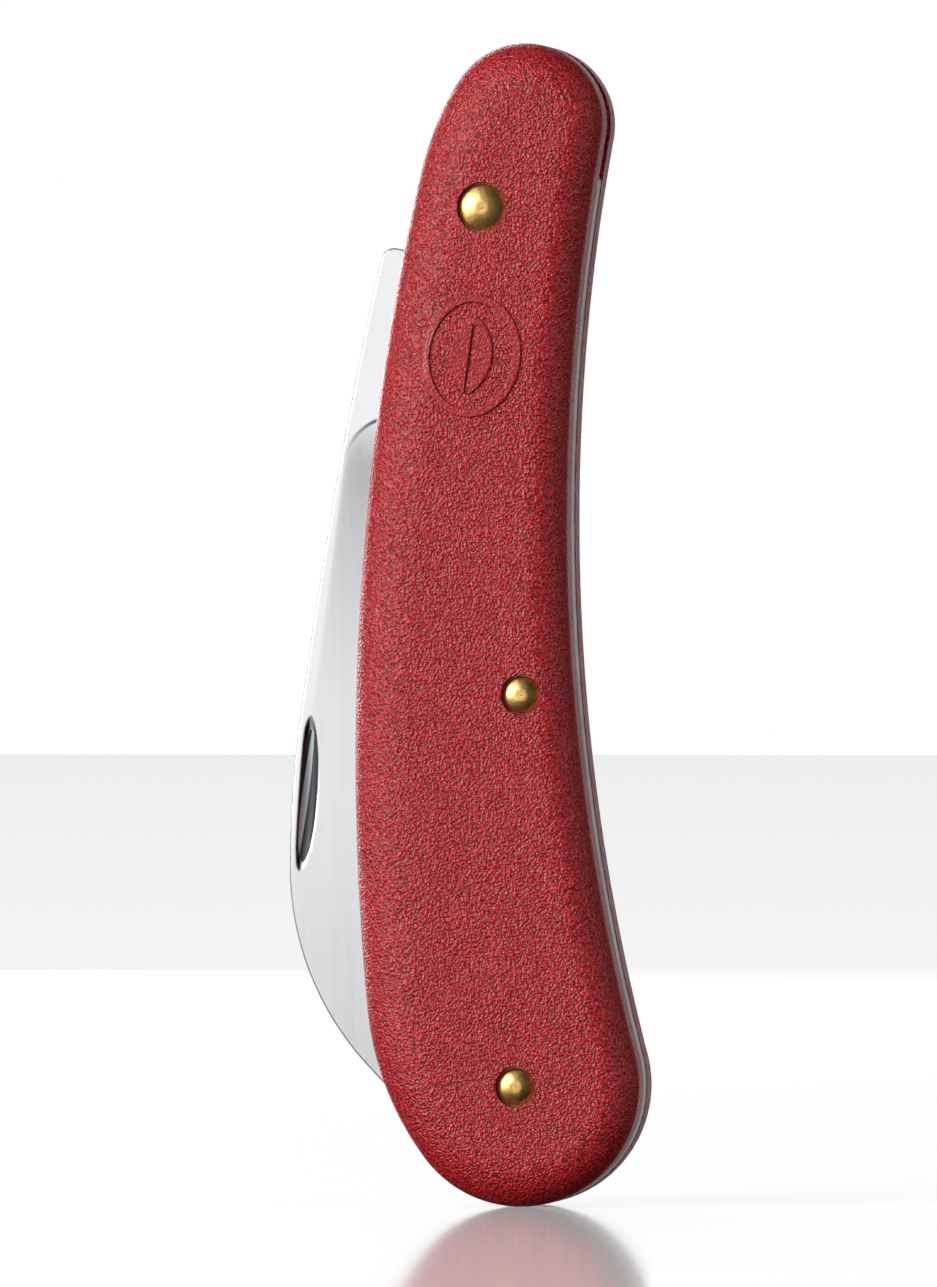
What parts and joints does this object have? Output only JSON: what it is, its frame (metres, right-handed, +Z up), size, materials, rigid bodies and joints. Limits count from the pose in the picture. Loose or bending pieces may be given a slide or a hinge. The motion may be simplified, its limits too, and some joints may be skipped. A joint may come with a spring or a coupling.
{
  "type": "grafting knife",
  "caption": "Folding garden knife with a curved red nylon grip, a hooked steel blade held by a back spring, and brass rivets.",
  "frame": {"origin": "middle of the closed knife's box in X and Y, at the bottom of the butt", "axes": "+Z up the closed knife from butt to pivot end, +X towards the back spring (the blade's slot is on -X), -Y towards the front, which has the emblem and the nail nick"},
  "size_m": [0.0339, 0.015, 0.11],
  "materials": {
    "red_nylon": "fine spark-eroded grain",
    "liner_steel": "plain sheet",
    "blade_steel": "polished",
    "spring_steel": "satin, polished on the outer edge",
    "rivet_brass": "polished domes",
    "washer_brass": "plain"
  },
  "bodies": {
    "handle": {"front_scale": "red_nylon", "back_scale": "red_nylon", "front_liner": "liner_steel", "back_liner": "liner_steel", "pivot_rivet": "rivet_brass", "pivot_washer_front": "washer_brass", "pivot_washer_back": "washer_brass", "centre_rivet": "rivet_brass", "centre_washer_front": "washer_brass", "centre_washer_back": "washer_brass", "end_rivet": "rivet_brass", "end_washer_front": "washer_brass", "end_washer_back": "washer_brass"},
    "blade": {"blade": "blade_steel"},
    "spring": {"back_spring": "spring_steel"}
  },
  "joints": [
    {"name": "blade_pivot", "type": "hinge", "parent": "handle", "child": "blade", "pos_m": [0.00235, 0, 0.0944], "axis": [0, 1, 0], "range_deg": [0, 180]},
    {"name": "spring_lift", "type": "hinge", "parent": "handle", "child": "spring", "pos_m": [0.00608, 0, 0.0484], "axis": [0, 1, 0], "range_deg": [0, 1.2], "stiffness_Nm_per_rad": 20, "deforming": ["back_spring"]}
  ]
}
